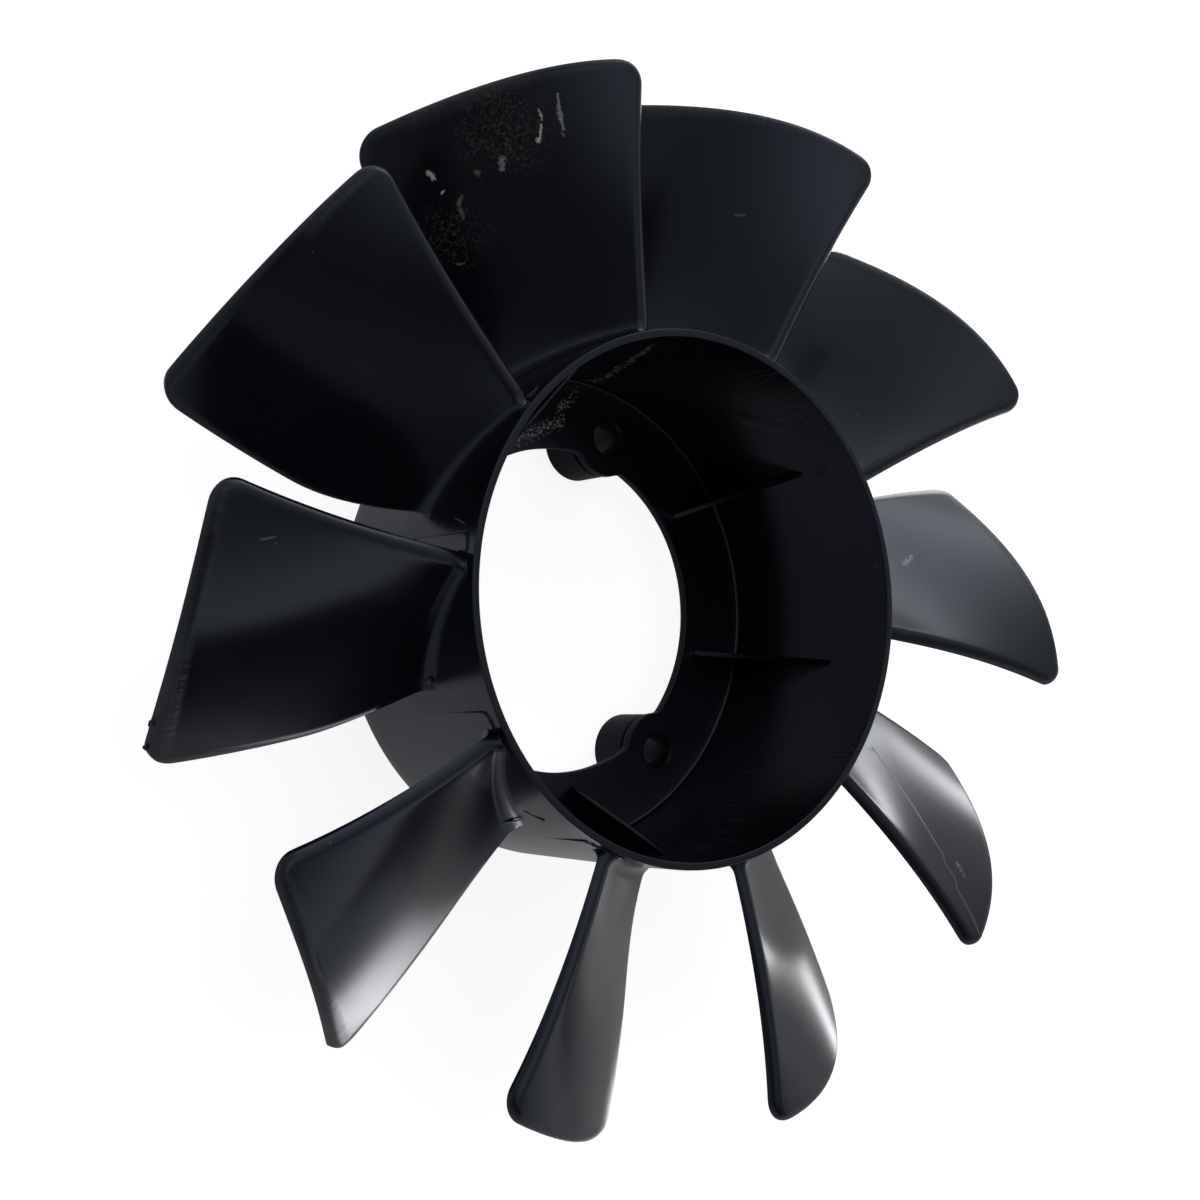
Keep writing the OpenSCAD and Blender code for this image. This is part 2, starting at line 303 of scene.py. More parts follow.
# %% Blade grid
EDGE_STEPS, CHORD_STEPS, FILLET_STEPS, LENGTH_STEPS, CORNER_STEPS = 9, 28, 11, 26, 13
BLADE_FINISHES = {0: TOP_BLADE, 1: NICKED, 3: NICKED, 4: CRACKED, 8: NICKED}
fillet_reach = STEP_H + ROOT_FILLET * (1 - np.cos(np.linspace(0, math.pi / 2, FILLET_STEPS)))
tip_reach = BLADE_LEN - CORNER_R * (1 - np.sin(np.linspace(0, math.pi / 2, CORNER_STEPS))) ** 1.2
middle_reach = np.linspace(fillet_reach[-1], tip_reach[0], LENGTH_STEPS)[1:-1]
reach = np.concatenate([[-BITE], fillet_reach, middle_reach, tip_reach])
lead_shares = 1 - np.cos(np.linspace(0, math.pi / 2, EDGE_STEPS))
middle_shares = np.linspace(0, 1, CHORD_STEPS)[1:-1]
trail_shares = np.array([1, 0.55, 0.2, 0.05, 0])
share = np.concatenate([lead_shares, middle_shares, trail_shares])
zone = np.repeat([LEAD, MIDDLE, TRAIL], [len(lead_shares), len(middle_shares), len(trail_shares)])
front_face = blade_section(reach, share, zone, True)
back_face = blade_section(reach, share, zone, False)
one_blade = np.concatenate([front_face, back_face[:, -2:0:-1]], 1)
for i in range(BLADES):
    turned = spin(one_blade[..., 0], one_blade[..., 1], one_blade[..., 2], BLADE_ANGLE - i * PITCH)
    finish = BLADE_FINISHES.get(i, PLAIN)
    wheel_mesh.add_grid(turned, finish, closed=True)
    front, back = turned[-1, :len(share)], turned[-1, :len(share) - 1:-1]
    tip = np.stack([front, np.concatenate([front[:1], back, front[-1:]])])
    wheel_mesh.add_grid(tip[::-1], finish)
print("blade grid", one_blade.shape[:2], "thickest", round(BLADE_T_ROOT, 1), "mm")

# %% [markdown]
# The drum is turned from a profile. Its outside isn't quite round: the two mould halves
# each leave a skin with their own draft, and between the blades the parting line between
# them runs as a small step, along the drum, round a corner and across. The step is built
# into the radius, with grid lines packed close together where it passes.

# %% Drum outside with its parting step
def round_and(a, b, c):
    """The smaller of two distances, with the corner between them rounded by the radius c."""
    return np.where((a < c) & (b < c), c - np.hypot(c - a, c - b), np.minimum(a, b))


def front_half(t, z):
    """Above zero where the front mould half shapes the skin; t is in degrees from a blade's leading root."""
    x = np.radians(-STEP_ARC - t) * DRUM_R
    back_line = z - (WHEEL_H - STEP_BACK)
    front_line = z - (WHEEL_H - STEP_FRONT)
    tongue = round_and(x, back_line, STEP_CORNER)
    between = -round_and(-tongue, -front_line, STEP_CORNER)
    lead_z, trail_z = WHEEL_H - LEAD_SET_BACK, WHEEL_H - TRAIL_DEPTH + RELIEF_RISE
    root_line = z - (lead_z - (lead_z - trail_z) / ROOT_END * (t + PITCH))
    return np.where(t < STEP_END, root_line, between)


def outside_r(t, z):
    front_skin = DRUM_R + (WHEEL_H - z) * math.tan(SKIN_DRAFT)
    mid_r = DRUM_R + (WHEEL_H - MID_Z) * math.tan(SKIN_DRAFT)
    back_skin = mid_r + (z - MID_Z) * math.tan(SKIN_DRAFT)
    mix = np.clip(front_half(t, z) / STEP_WIDTH + 0.5, 0, 1)
    return back_skin + (front_skin - back_skin) * mix * mix * (3 - 2 * mix)


print("parting step turns a corner of", STEP_CORNER, "mm,", STEP_ARC, "degrees from each blade")

# %% [markdown]
# The rows of the drum start under the flange, go round the back edge, up the outside, over
# the rim and down the bore to the flange again. The columns of one sector, from blade to
# blade, are listed as runs of start, end and count, in degrees.

# %% Drum grid
SECTOR_RUNS = [(-PITCH, -12.5, 13), (-11.8, -6.7, 8), (-6.5, -3.9, 18), (-3.2, -0.7, 4)]
sector = np.concatenate([np.linspace(*run) for run in SECTOR_RUNS])
t_all = np.tile(sector, BLADES)
angle_all = np.concatenate([sector + BLADE_ANGLE + i * PITCH for i in range(BLADES)])
z_out = np.concatenate([np.linspace(FLANGE_BOTTOM + BACK_ROUND, 50.2, 9), np.arange(50.5, 54.3, 0.27),
                        np.linspace(55, 84, 14), np.arange(84.5, 88.1, 0.27), [88.8, 89.8, 90.5]])
quarter_turn = np.linspace(0, math.pi / 2, 7)


def bore_r(z):
    return DRUM_R - RIM_WALL - (WHEEL_H - z) * math.tan(BORE_DRAFT)


def even_row(radius, z):
    """A row of the drum that has one radius all the way round."""
    return np.full(len(t_all), radius), z


foot_r = DRUM_R + (WHEEL_H + FLANGE_BOTTOM - 2 * MID_Z) * math.tan(SKIN_DRAFT)
rim_z, foot_z = WHEEL_H - SMALL_ROUND, FLANGE_TOP + FLANGE_FILLET
rows = [even_row(PLATE_R, FLANGE_BOTTOM)]
for a in quarter_turn[:-1]:
    rows.append(even_row(foot_r - BACK_ROUND * (1 - math.sin(a)),
                         FLANGE_BOTTOM + BACK_ROUND * (1 - math.cos(a))))
rows += [(outside_r(t_all, z), z) for z in z_out]
for a in quarter_turn:
    rows.append(even_row(DRUM_R - SMALL_ROUND * (1 - math.cos(a)), rim_z + SMALL_ROUND * math.sin(a)))
for a in quarter_turn[::-1]:
    rows.append(even_row(bore_r(WHEEL_H) + SMALL_ROUND * (1 - math.cos(a)), rim_z + SMALL_ROUND * math.sin(a)))
for z in np.linspace(90, foot_z, 14):
    rows.append(even_row(bore_r(z), z))
for a in quarter_turn[1:]:
    rows.append(even_row(bore_r(FLANGE_TOP) - FLANGE_FILLET * (1 - math.cos(a)),
                         foot_z - FLANGE_FILLET * math.sin(a)))
rows.append(even_row(PLATE_R, FLANGE_TOP))
drum = np.stack([spin(r, 0 * r, z, angle_all) for r, z in rows])
wheel_mesh.add_grid(drum, closed=True)
print("drum grid", drum.shape[:2])

# %% [markdown]
# The flange is a flat ring with an opening that the three ears reach into. A flat face with
# holes is easiest to fill from its outlines. Its long triangles are shaded flat, because
# smooth shading would bend the light round the holes. The edge of the opening gets a small
# round, because no moulded edge is perfectly sharp and the light picks such edges out.

# %% Flange outlines
OPENING_SIDES, HOLE_SIDES, SMOOTHINGS = 900, 48, 6


def opening_outline():
    """The edge of the opening at even angles: a round opening, less the ears."""
    a = np.linspace(0, 360, OPENING_SIDES, endpoint=False)
    r = np.full(OPENING_SIDES, OPENING_R)
    for bolt in BOLT_ANGLES:
        off = np.radians((a - bolt + 180) % 360 - 180)
        inside = EAR_R ** 2 - (BOLT_R * np.sin(off)) ** 2
        ear_side = BOLT_R * np.cos(off) - np.sqrt(np.maximum(inside, 0))
        crossed = (inside > 0) & (np.abs(off) < math.pi / 2)
        r = np.where(crossed, np.minimum(r, ear_side), r)
    for _ in range(SMOOTHINGS):
        r = (np.roll(r, 1) + 2 * r + np.roll(r, -1)) / 4
    return np.stack([r * np.cos(np.radians(a)), r * np.sin(np.radians(a))], -1)


def grown(outline, amount):
    """The outline moved outward, away from the axis side, by an amount."""
    along = np.roll(outline, -1, 0) - np.roll(outline, 1, 0)
    along /= np.linalg.norm(along, axis=1)[:, None]
    return outline + amount * np.stack([along[:, 1], -along[:, 0]], -1)


def circle_outline(centre, radius, angles):
    return np.array(centre) + radius * np.stack([np.cos(angles), np.sin(angles)], -1)


opening = opening_outline()
bolt_centres = [(BOLT_R * math.cos(math.radians(b)), BOLT_R * math.sin(math.radians(b))) for b in BOLT_ANGLES]
hole_angles = np.radians(np.linspace(0, 360, HOLE_SIDES, endpoint=False))
hole_outlines = [circle_outline(centre, HOLE_R + HOLE_CHAMFER, hole_angles) for centre in bolt_centres]
plate_outer = circle_outline((0, 0), PLATE_R, np.radians(angle_all))
opening_width = 2 * np.linalg.norm(opening, axis=1).max()
print("opening is", round(opening_width, 1), "mm wide, with", len(bolt_centres), "ears in it")


# %% Flange faces and the edge of the opening
def fill_plate(z, up):
    bm = bmesh.new()
    for loop in [plate_outer, grown(opening, SMALL_ROUND)] + hole_outlines:
        verts = [bm.verts.new((x, y, z)) for x, y in loop]
        for i in range(len(verts)):
            bm.edges.new((verts[i], verts[(i + 1) % len(verts)]))
    bmesh.ops.triangle_fill(bm, use_beauty=True, edges=bm.edges[:], normal=(0, 0, 1 if up else -1))
    bm.verts.index_update()
    corners = [[v.index for v in face.verts] for face in bm.faces]
    wheel_mesh.add([v.co[:] for v in bm.verts], corners, smooth=False)
    print("flange face at", z, "mm has", len(bm.faces), "triangles")
    bm.free()


fill_plate(FLANGE_TOP, True)
fill_plate(FLANGE_BOTTOM, False)
edge_rows = []
for a in np.linspace(0, math.pi / 2, 5):
    edge_rows.append((SMALL_ROUND * (1 - math.sin(a)), FLANGE_TOP - SMALL_ROUND * (1 - math.cos(a))))
edge_rows += [(out, FLANGE_TOP + FLANGE_BOTTOM - z) for out, z in edge_rows[::-1]]
edge_grid = [np.concatenate([grown(opening, out), np.full((len(opening), 1), z)], 1) for out, z in edge_rows]
wheel_mesh.add_grid(np.stack(edge_grid), closed=True)

# %% [markdown]
# Behind each ear a round boss reaches back to the bolting plane. A narrow groove separates
# it from the ear. Ear, groove, boss and bolt hole are one profile turned about the bolt.

# %% Bosses and bolt holes
def boss_profile():
    """Radius and height of each row, from the hole's front chamfer round the boss and up into the flange."""
    neck_z = FLANGE_BOTTOM - NECK_W
    side = BOSS_R - SMALL_ROUND
    rows = [(HOLE_R + HOLE_CHAMFER, FLANGE_TOP), (HOLE_R, FLANGE_TOP - HOLE_CHAMFER), (HOLE_R, HOLE_CHAMFER),
            (HOLE_R + HOLE_CHAMFER, 0.0), (side, 0.0)]
    rows += [(side + SMALL_ROUND * math.sin(a), SMALL_ROUND * (1 - math.cos(a))) for a in quarter_turn[1:]]
    rows += [(BOSS_R, neck_z - SMALL_ROUND)]
    rows += [(side + SMALL_ROUND * math.cos(a), neck_z - SMALL_ROUND * (1 - math.sin(a)))
             for a in quarter_turn[1:]]
    return rows + [(BOSS_R - NECK_CUT, neck_z), (BOSS_R - NECK_CUT, FLANGE_BOTTOM + 0.5)]


BOSS_SIDES = 96
turn = np.linspace(0, 360, BOSS_SIDES, endpoint=False)
one_boss = np.stack([spin(np.full(BOSS_SIDES, r), 0 * turn, z, turn) for r, z in boss_profile()])
for x, y in bolt_centres:
    wheel_mesh.add_grid(one_boss + np.array([x, y, 0]), closed=True)
print("bosses at", BOLT_ANGLES, "degrees")

# %% [markdown]
# Six triangular gussets stiffen the corner between flange and wall. Each is a thin web with
# a rounded sloping edge, which shows as a pale line against the dark inside of the drum.

# %% Gussets
GUSSET_STEPS = 9


def gusset_grid():
    """One gusset before it is turned into place: its slope runs one millimetre into flange and wall."""
    top_z = FLANGE_TOP + GUSSET_H
    foot, top = np.array([GUSSET_FOOT_R, FLANGE_TOP]), np.array([bore_r(top_z), top_z])
    run = (top - foot) / np.linalg.norm(top - foot)
    inward = np.array([run[1], -run[0]])
    half = GUSSET_T / 2
    corner = np.array([bore_r(FLANGE_TOP) + 1.0, FLANGE_TOP - 1.0])
    rows = []
    for side in (-1, 1):
        arc = [(half - half * GUSSET_ROUND * (1 - math.cos(a)), half * GUSSET_ROUND * (1 - math.sin(a)))
               for a in quarter_turn]
        for y, deep in arc if side < 0 else arc[::-1]:
            slope = [foot - run + (top - foot + 2 * run) * s + inward * deep
                     for s in np.linspace(0, 1, GUSSET_STEPS)]
            rows.append([(p[0], side * y, p[1]) for p in slope])
    first, last = ([(corner[0], y, corner[1])] * GUSSET_STEPS for y in (-half, half))
    return np.array([first] + rows + [last])


gusset = gusset_grid()
for bolt in BOLT_ANGLES:
    for side in (-1, 1):
        wheel_mesh.add_grid(spin(gusset[..., 0], gusset[..., 1], gusset[..., 2], bolt + side * GUSSET_SPREAD))
print("gusset grid", gusset.shape[:2])

# %% [markdown]
# A few places stand up from the surface: two burrs on a blade's tip, a lump in the corner of
# its root, and at the next blade a thread of flash at the root and a scar on the drum. They
# are big enough to catch light, so each is a small bead of mesh along a short path, half
# sunk in. A bump in the shader would be easier, but it wouldn't change the wheel's outline.

# %% Burrs, lump, thread and scar
def bead(path, radii, finish=RAISED, sides=10):
    """A round string of mesh along a path in millimetres, with a radius at each of its points."""
    path, radii = np.array(path, float), np.array(radii, float)
    dense = np.linspace(0, len(path) - 1, 5 * len(path))
    path = np.stack([np.interp(dense, np.arange(len(path)), path[:, k]) for k in range(3)], -1)
    radii = np.interp(dense, np.arange(len(radii)), radii) * (1 + 0.15 * np.sin(dense * 9.0))
    run = np.gradient(path, axis=0)
    across = np.cross(run, (0.3, 0.2, 1.0))
    across /= np.linalg.norm(across, axis=1)[:, None]
    third = np.cross(run / np.linalg.norm(run, axis=1)[:, None], across)
    a = np.linspace(0, 2 * math.pi, sides, endpoint=False)[None, :, None]
    rings = across[:, None] * np.cos(a) + third[:, None] * np.sin(a)
    wheel_mesh.add_grid(path[:, None] + radii[:, None, None] * rings, finish, closed=True)


upper_burr = [(-157.0, -28.4, 59.7), (-157.9, -30.0, 58.2), (-158.2, -31.1, 57.2), (-157.4, -31.8, 56.4)]
lower_burr = [(-156.8, -36.2, 51.7), (-157.2, -37.2, 50.8), (-156.3, -38.2, 50.0)]
root_lump = [(-77.0, -21.4, 65.4), (-78.2, -21.9, 64.7), (-79.4, -22.4, 64.1)]
drum_scar = [(-53.9, -59.3, 73.2), (-53.0, -60.2, 74.2), (-51.8, -61.0, 75.2), (-51.1, -61.6, 77.0),
             (-50.2, -62.5, 78.7), (-50.9, -61.9, 79.3)]
root_thread = [(-54.8, -63.9, 63.2), (-52.8, -63.3, 64.0), (-51.4, -63.2, 65.6), (-50.4, -62.5, 68.8)]
bead(upper_burr, [0.1, 0.7, 0.9, 0.1], NICKED)
bead(lower_burr, [0.1, 0.7, 0.1], NICKED)
bead(root_lump, [0.2, 1.2, 0.1])
bead(drum_scar, [0.05, 0.30, 0.32, 0.42, 0.50, 0.05])
bead(root_thread, [0.05, 0.34, 0.30, 0.05])
print("store now has", wheel_mesh.count, "points")

# %% [markdown]
# The store now becomes one mesh. Points that meet are joined, and the faces are turned to
# look outward. Edges sharper than a set angle stay crisp. Marking them makes every face
# smooth, so the flange's flat faces are set flat again after it. The finished mesh takes the
# place of the solid on the wheel's body.

# %% The moulding as one object
SHARP_DEGREES, JOIN_DISTANCE = 38, 0.002 * MM


def make_object(store, name):
    mesh = bpy.data.meshes.new(name)
    points = np.clip(np.concatenate(store.points) * MM, CAD_BOX[0], CAD_BOX[1])
    mesh.from_pydata(points.tolist(), [], store.faces)
    mesh.polygons.foreach_set("material_index", store.finishes)
    mesh.polygons.foreach_set("use_smooth", store.smooth)
    bm = bmesh.new()
    bm.from_mesh(mesh)
    bmesh.ops.remove_doubles(bm, verts=bm.verts, dist=JOIN_DISTANCE)
    bmesh.ops.recalc_face_normals(bm, faces=bm.faces)
    bm.to_mesh(mesh)
    bm.free()
    shading = [face.use_smooth for face in mesh.polygons]
    mesh.set_sharp_from_angle(angle=math.radians(SHARP_DEGREES))
    mesh.polygons.foreach_set("use_smooth", shading)
    made = bpy.data.objects.new(name, mesh)
    bpy.context.scene.collection.objects.link(made)
    triangles = sum(len(p.vertices) - 2 for p in mesh.polygons)
    print(name, "has", triangles, "triangles")
    return made


wheel = make_object(wheel_mesh, "fan_wheel_moulding")
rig.ride(wheel, "root")
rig.replaces(wheel, "fan_wheel")
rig.slot(wheel, "fan_wheel")

# %% [markdown]
# The plastic is a satin, almost black polypropylene with a cool cast. Its look lives in the
# gloss: soft bands of light lie along the blades. One way would be a single dark colour, but
# a moulding that has been in use has grain, drag lines from the mould, dust and scratches.
# They are made from noise and distances in the object's own space, so they stay in place
# when the wheel turns. The helpers below keep the node code short.

# %% Node helpers
FLOAT, VECTOR = "NodeSocketFloat", "NodeSocketVector"


def plug(tree, socket, value):
    """Gives a socket a value, or links it where the value is another node's output."""
    if isinstance(value, bpy.types.NodeSocket):
        tree.links.new(value, socket)
    else:
        socket.default_value = value


def add_node(tree, kind, inputs=None, **settings):
    made = tree.nodes.new(kind)
    for key, value in settings.items():
        setattr(made, key, value)
    for key, value in (inputs or {}).items():
        plug(tree, made.inputs[key], value)
    return made


def maths(tree, operation, a, b=0.0, c=0.0, clamp=False):
    return add_node(tree, "ShaderNodeMath", {0: a, 1: b, 2: c}, operation=operation, use_clamp=clamp).outputs[0]


def peaks(tree, value, level, gain):
    """What stands above a level, from 0 to 1, made steeper by a gain."""
    return maths(tree, "MULTIPLY", maths(tree, "SUBTRACT", value, level, clamp=True), gain, clamp=True)


def smooth_step(tree, value, start, end, low=0.0, high=1.0):
    """A value that goes softly from low to high between a start and an end."""
    inputs = {"Value": value, "From Min": start, "From Max": end, "To Min": low, "To Max": high}
    return add_node(tree, "ShaderNodeMapRange", inputs, interpolation_type="SMOOTHSTEP").outputs[0]


def vector_maths(tree, operation, a, b=(0, 0, 0)):
    made = add_node(tree, "ShaderNodeVectorMath", {0: a}, operation=operation)
    plug(tree, made.inputs["Scale" if operation == "SCALE" else 1], b)
    return made.outputs["Value" if operation in ("LENGTH", "DISTANCE", "DOT_PRODUCT") else "Vector"]


def noise(tree, place, scale, detail=3.0, roughness=0.5):
    return add_node(tree, "ShaderNodeTexNoise",
                    {"Vector": place, "Scale": scale, "Detail": detail, "Roughness": roughness}).outputs["Fac"]


def new_group(name, inputs, outputs):
    """A node group with inputs (name, kind, default), and outputs that are masks or heights."""
    tree = bpy.data.node_groups.new(name, "ShaderNodeTree")
    for label, kind, default in inputs:
        socket = tree.interface.new_socket(name=label, in_out="INPUT", socket_type=kind)
        if default is not None:
            socket.default_value = default
    for label in outputs:
        tree.interface.new_socket(name=label, in_out="OUTPUT", socket_type=FLOAT)
    return tree, tree.nodes.new("NodeGroupInput").outputs, tree.nodes.new("NodeGroupOutput").inputs


def use_group(tree, group, **values):
    made = tree.nodes.new("ShaderNodeGroup")
    made.node_tree = group
    for key, value in values.items():
        plug(tree, made.inputs[key.replace("_", " ")], value)
    return made.outputs


def strongest(tree, masks):
    total = masks[0]
    for mask in masks[1:]:
        total = maths(tree, "MAXIMUM", total, mask)
    return total


# %% [markdown]
# Flecks, runs and scratches are all marks along a short line, and a round fleck is a line
# with no length. One small group measures how near the surface is to such a line. Many of
# them go into one material, so the group stays small: the ragged rim is added afterwards,
# once for a whole set of marks.

# %% Group: a mark along a line
mark_group, given, result = new_group("mark_along_a_line", [
    ("Position", VECTOR, None), ("From", VECTOR, (0, 0, 0)), ("To", VECTOR, (0, 0, 0)),
    ("Radius", FLOAT, 1.0 * MM)], ["Mask"])
t = mark_group
out = vector_maths(t, "SUBTRACT", given["Position"], given["From"])
run = vector_maths(t, "SUBTRACT", given["To"], given["From"])
share_along = maths(t, "DIVIDE", vector_maths(t, "DOT_PRODUCT", out, run),
                    vector_maths(t, "DOT_PRODUCT", run, run), clamp=True)
gap = vector_maths(t, "DISTANCE", out, vector_maths(t, "SCALE", run, share_along))
plug(t, result["Mask"], maths(t, "SUBTRACT", 1.0, maths(t, "DIVIDE", gap, given["Radius"]), clamp=True))
print("a mark takes", len(t.nodes), "nodes")

# %% [markdown]
# A moulding isn't evenly glossy. The mould's own polish and the flow of the plastic leave a
# fine grain and a slow cloudiness, and some specks of dust always stick to it. Grain and
# cloud are noise, fine and coarse. Dust is a spot in the middle of a few cells, picked by the
# random colour that each cell has.

# %% Group: grain, cloud and dust of a moulding
grain_group, given, result = new_group("moulded_grain", [
    ("Position", VECTOR, None), ("Grain scale", FLOAT, 1500.0), ("Cloud scale", FLOAT, 22.0),
    ("Dust share", FLOAT, 0.03)], ["Height", "Cloud", "Dust"])
t = grain_group
DUST_CELLS, SMALLEST_SPECK, SPECK_RANGE = 260.0, 0.03, 0.07
cells = add_node(t, "ShaderNodeTexVoronoi", {"Vector": given["Position"], "Scale": DUST_CELLS})
pick = add_node(t, "ShaderNodeSeparateColor", {"Color": cells.outputs["Color"]}).outputs
chosen = maths(t, "LESS_THAN", pick[0], given["Dust share"])
speck_size = maths(t, "MULTIPLY_ADD", pick[1], SPECK_RANGE, SMALLEST_SPECK)
dot = maths(t, "LESS_THAN", cells.outputs["Distance"], speck_size)
plug(t, result["Height"], noise(t, given["Position"], given["Grain scale"], 1.5, 0.6))
plug(t, result["Cloud"], noise(t, given["Position"], given["Cloud scale"], 4.0, 0.62))
plug(t, result["Dust"], maths(t, "MULTIPLY", chosen, dot))
print("dust specks are", round(SMALLEST_SPECK / DUST_CELLS / MM, 2), "mm in radius or more")

# %% [markdown]
# Two marks come from making the wheel. The blade tips were trimmed, which left fine strokes
# across their rounded edge, and the mould dragged straight lines along the drum's inside.
# Both are noise squeezed along one direction: the tip strokes keep their value outward, and
# the drag lines keep it along the spin axis.

# %% Group: trimmed tips and drag lines
maker_group, given, result = new_group(
    "makers_marks", [("Position", VECTOR, None)], ["Tip strokes", "Drag lines"])
t = maker_group
TIP_ZONE_FROM, TIP_ZONE_TO = (TIP_R - 5.5) * MM, (TIP_R - 3.0) * MM
BORE_ZONE_R, BORE_ZONE_Z = (DRUM_R - 1.2) * MM, (FLANGE_TOP + 1.5) * MM
axes = add_node(t, "ShaderNodeSeparateXYZ", {"Vector": given["Position"]}).outputs
flat = add_node(t, "ShaderNodeCombineXYZ", {"X": axes[0], "Y": axes[1]}).outputs[0]
radius = vector_maths(t, "LENGTH", flat)
outward = vector_maths(t, "SCALE", vector_maths(t, "NORMALIZE", flat), TIP_R * MM)
height_only = add_node(t, "ShaderNodeCombineXYZ", {"Z": axes[2]}).outputs[0]
strokes = noise(t, vector_maths(t, "ADD", outward, height_only), 800.0, 2.0)
near_tip = smooth_step(t, radius, TIP_ZONE_FROM, TIP_ZONE_TO)
patchy = peaks(t, noise(t, given["Position"], 30.0, 1.0), 0.42, 7.0)
plug(t, result["Tip strokes"], maths(t, "MULTIPLY", maths(t, "MULTIPLY", near_tip, patchy), strokes))
squeezed = vector_maths(t, "MULTIPLY", given["Position"], (1.0, 1.0, 0.03))
drag = peaks(t, noise(t, squeezed, 900.0, 2.0, 0.7), 0.56, 5.0)
ends = peaks(t, noise(t, given["Position"], 60.0, 2.0), 0.45, 6.0)
inside_skin = maths(t, "LESS_THAN", radius, BORE_ZONE_R)
in_drum = maths(t, "MULTIPLY", inside_skin, maths(t, "GREATER_THAN", axes[2], BORE_ZONE_Z))
plug(t, result["Drag lines"], maths(t, "MULTIPLY", maths(t, "MULTIPLY", drag, ends), in_drum))
print("tip strokes start", round(TIP_ZONE_FROM / MM, 1), "mm from the axis")

# %% [markdown]
# Where the two mould halves met, a thin line is left on the outside of the drum. The mesh already has the step between
# the halves, but the step vanishes half way along. The line itself never does, so it is drawn from the same sizes as a
# narrow groove, darkened with painted shade: along the drum, round a corner and across, once between each pair of
# blades. The drum has it alone, but a group still keeps its working apart from the drum's other marks.

# %% Group: the parting line
parting_group, given, result = new_group(
    "parting_groove_and_shade", [("Position", VECTOR, None), ("Width", FLOAT, 0.35 * MM)], ["Mask"])
t = parting_group
axes = add_node(t, "ShaderNodeSeparateXYZ", {"Vector": given["Position"]}).outputs
turned = maths(t, "SUBTRACT", maths(t, "DEGREES", maths(t, "ARCTAN2", axes[1], axes[0])), BLADE_ANGLE)
after_blade = maths(t, "WRAP", turned, 0.0, -PITCH)
aside = maths(t, "MULTIPLY_ADD", after_blade, -math.radians(DRUM_R * MM), -math.radians(STEP_ARC * DRUM_R * MM))
above_back = maths(t, "SUBTRACT", axes[2], (WHEEL_H - STEP_BACK) * MM)
above_front = maths(t, "SUBTRACT", axes[2], (WHEEL_H - STEP_FRONT) * MM)
tongue = maths(t, "SMOOTH_MIN", aside, above_back, 2 * STEP_CORNER * MM)
halves = maths(t, "SMOOTH_MAX", tongue, above_front, 2 * STEP_CORNER * MM)
line = maths(t, "SUBTRACT", 1.0, maths(t, "DIVIDE", maths(t, "ABSOLUTE", halves), given["Width"]), clamp=True)
flat = add_node(t, "ShaderNodeCombineXYZ", {"X": axes[0], "Y": axes[1]}).outputs[0]
outside = maths(t, "GREATER_THAN", vector_maths(t, "LENGTH", flat), (DRUM_R - 0.1) * MM)
between_blades = maths(t, "GREATER_THAN", after_blade, STEP_END)
plug(t, result["Mask"], maths(t, "MULTIPLY", maths(t, "MULTIPLY", line, outside), between_blades))
print("groups:", [group.name for group in bpy.data.node_groups])

# %% [markdown]
# All the finishes below are this one plastic with other marks on it. Dried flecks, dust and
# bare scratches are lighter and rougher than the plastic, while strokes and drag lines mostly
# change its surface. The cool cast of the gloss is the same all over, so it is set on the
# shader itself. A height that goes into a bump is worked out three times for each point, so
# only the marks that need relief rise.

# %% The plastic, ready for marks
BLACK = ((0.0030, 0.0034, 0.0056), (0.0056, 0.0064, 0.0104))
TORN_BLACK = ((0.010, 0.011, 0.012), (0.11, 0.115, 0.12))
COOL_GLOSS = (0.68, 0.80, 1.0, 1.0)
ROUGHNESS, CLOUD_ROUGHNESS = 0.165, 0.12
BUMP_STRENGTH, BUMP_DISTANCE, GRAIN_RISE = 0.35, 0.12 * MM, 0.20


def layered(tree, share, below, above):
    """A colour laid over another one where the share is high; a plain colour is a tuple."""
    pair = [(*colour, 1) if isinstance(colour, tuple) else colour for colour in (below, above)]
    return add_node(tree, "ShaderNodeMix", {0: share, 6: pair[0], 7: pair[1]}, data_type="RGBA").outputs[2]


